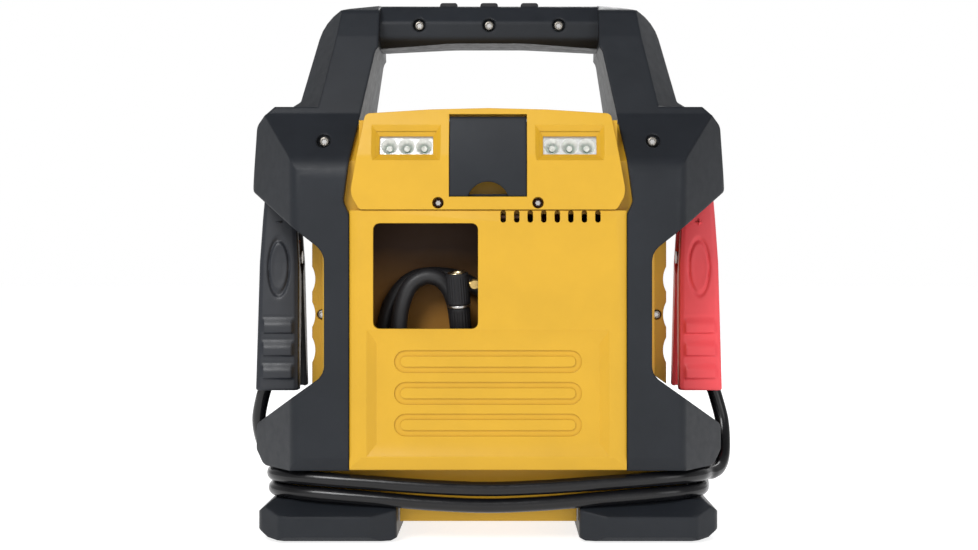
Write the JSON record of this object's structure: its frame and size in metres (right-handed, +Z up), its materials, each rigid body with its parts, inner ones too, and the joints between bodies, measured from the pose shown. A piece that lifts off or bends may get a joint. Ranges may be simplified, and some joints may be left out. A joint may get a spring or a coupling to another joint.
{
  "type": "jump starter pack",
  "caption": "Portable jump starter pack in a carrying frame, with an air hose compartment, lamps, outlets behind a door, and leads wound round its base to clamps stored in the shoulders.",
  "frame": {"origin": "on the floor under the middle of the pack", "axes": "+Z up, -Y towards the rear side with the lamps and hose window, X across the pack, left and right as seen from -Y"},
  "size_m": [0.3491, 0.2003, 0.38],
  "materials": {
    "yellow_plastic": "fine satin grain",
    "black_plastic": "fine matte grain",
    "rubber": "matte",
    "steel": "satin",
    "brass": "satin",
    "copper": "copper-plated, satin",
    "red_plastic": "satin",
    "clear_plastic": "clear polished",
    "circuit_board": "solder mask",
    "fuse_plastic": "gloss",
    "cast_alloy": "as cast",
    "reflector": "mirror-bright",
    "battery_case": "matte",
    "hose_rubber": "satin",
    "lead_rubber": "glossy",
    "black_grip": "satin"
  },
  "bodies": {
    "pack": {"rear_frame_shell": "black_plastic", "front_frame_shell": "black_plastic", "grip_pad": "rubber", "rear_case_shell": "yellow_plastic", "front_case_shell": "yellow_plastic", "lamp_pod_cover": "yellow_plastic", "hose_panel": "yellow_plastic", "hose_tray": "yellow_plastic", "base_pedestal": "yellow_plastic", "left_foot": "black_plastic", "right_foot": "black_plastic", "foot_pads": "rubber", "front_console": "black_plastic", "front_panel": "yellow_plastic", "door_hinge_pin": "steel", "socket_panel": "yellow_plastic", "power_socket": "steel", "usb_port": "black_plastic", "lamp_lenses": "clear_plastic", "lamp_reflectors": "reflector", "lamp_board": "circuit_board", "display_window": "clear_plastic", "switch_body": "black_plastic", "charge_inlet": "black_plastic", "battery": "battery_case", "battery_strap": "steel", "main_fuse": "fuse_plastic", "main_board": "circuit_board", "compressor_frame": "cast_alloy", "compressor_motor": "steel", "compressor_piston": "cast_alloy", "hose_outlet": "brass", "air_hose": "hose_rubber", "chuck_body": "hose_rubber", "black_lead": "lead_rubber", "red_lead": "lead_rubber", "black_gland": "rubber", "red_gland": "rubber", "black_rear_handle": "black_grip", "black_rear_jaw": "copper", "red_rear_handle": "red_plastic", "red_rear_jaw": "copper", "clamp_pins": "steel", "clamp_springs": "steel", "frame_screws": "steel", "case_screws": "steel", "foot_screws": "steel"},
    "outlet_door": {"socket_door": "black_plastic"},
    "light_button": {"light_button": "rubber"},
    "air_button": {"air_button": "rubber"},
    "check_button": {"check_button": "rubber"},
    "power_knob": {"power_knob": "red_plastic"},
    "charge_flap": {"charge_flap": "rubber"},
    "crank": {"crank_gear": "brass"},
    "pinion": {"motor_pinion": "steel"},
    "chuck_lever": {"chuck_lever": "brass"},
    "black_clamp_front": {"black_front_handle": "black_grip", "black_front_jaw": "copper"},
    "red_clamp_front": {"red_front_handle": "red_plastic", "red_front_jaw": "copper"}
  },
  "joints": [
    {"name": "outlet_door_hinge", "type": "hinge", "parent": "pack", "child": "outlet_door", "pos_m": [0, -0.0915, 0.2862], "axis": [-1, 0, 0], "range_deg": [0, 100]},
    {"name": "light_button_press", "type": "slide", "parent": "pack", "child": "light_button", "axis": [0, -1, 0], "range_m": [0, 0.0015], "stiffness_N_per_m": 500, "springref_m": -0.002},
    {"name": "air_button_press", "type": "slide", "parent": "pack", "child": "air_button", "axis": [0, -1, 0], "range_m": [0, 0.0015], "stiffness_N_per_m": 500, "springref_m": -0.002},
    {"name": "check_button_press", "type": "slide", "parent": "pack", "child": "check_button", "axis": [0, -1, 0], "range_m": [0, 0.0015], "stiffness_N_per_m": 500, "springref_m": -0.002},
    {"name": "power_knob_turn", "type": "hinge", "parent": "pack", "child": "power_knob", "pos_m": [-0.045, 0.09, 0.18], "axis": [0, 1, 0], "range_deg": [0, 90]},
    {"name": "charge_flap_hinge", "type": "hinge", "parent": "pack", "child": "charge_flap", "pos_m": [0.045, 0.0976, 0.1962], "axis": [1, 0, 0], "range_deg": [0, 95]},
    {"name": "crank_spin", "type": "hinge", "parent": "pack", "child": "crank", "pos_m": [0.064, -0.03, 0.134], "axis": [0, 0, 1], "continuous": true},
    {"name": "pinion_spin", "type": "hinge", "parent": "pack", "child": "pinion", "pos_m": [0.0955, -0.03, 0.134], "axis": [0, 0, 1], "continuous": true},
    {"name": "chuck_lever_hinge", "type": "hinge", "parent": "pack", "child": "chuck_lever", "pos_m": [-0.00942, -0.08433, 0.17495], "axis": [0.0121, -0.9848, -0.1732], "range_deg": [0, 70]},
    {"name": "black_clamp_hinge", "type": "hinge", "parent": "pack", "child": "black_clamp_front", "pos_m": [-0.1525, 0, 0.194], "axis": [-1, 0, 0], "range_deg": [0, 10], "stiffness_Nm_per_rad": 1.5, "springref_deg": -28.65},
    {"name": "red_clamp_hinge", "type": "hinge", "parent": "pack", "child": "red_clamp_front", "pos_m": [0.1525, 0, 0.194], "axis": [-1, 0, 0], "range_deg": [0, 10], "stiffness_Nm_per_rad": 1.5, "springref_deg": -28.65}
  ],
  "couplings": [
    {"joint": "pinion_spin", "follows": "crank_spin", "ratio": -2.5}
  ]
}
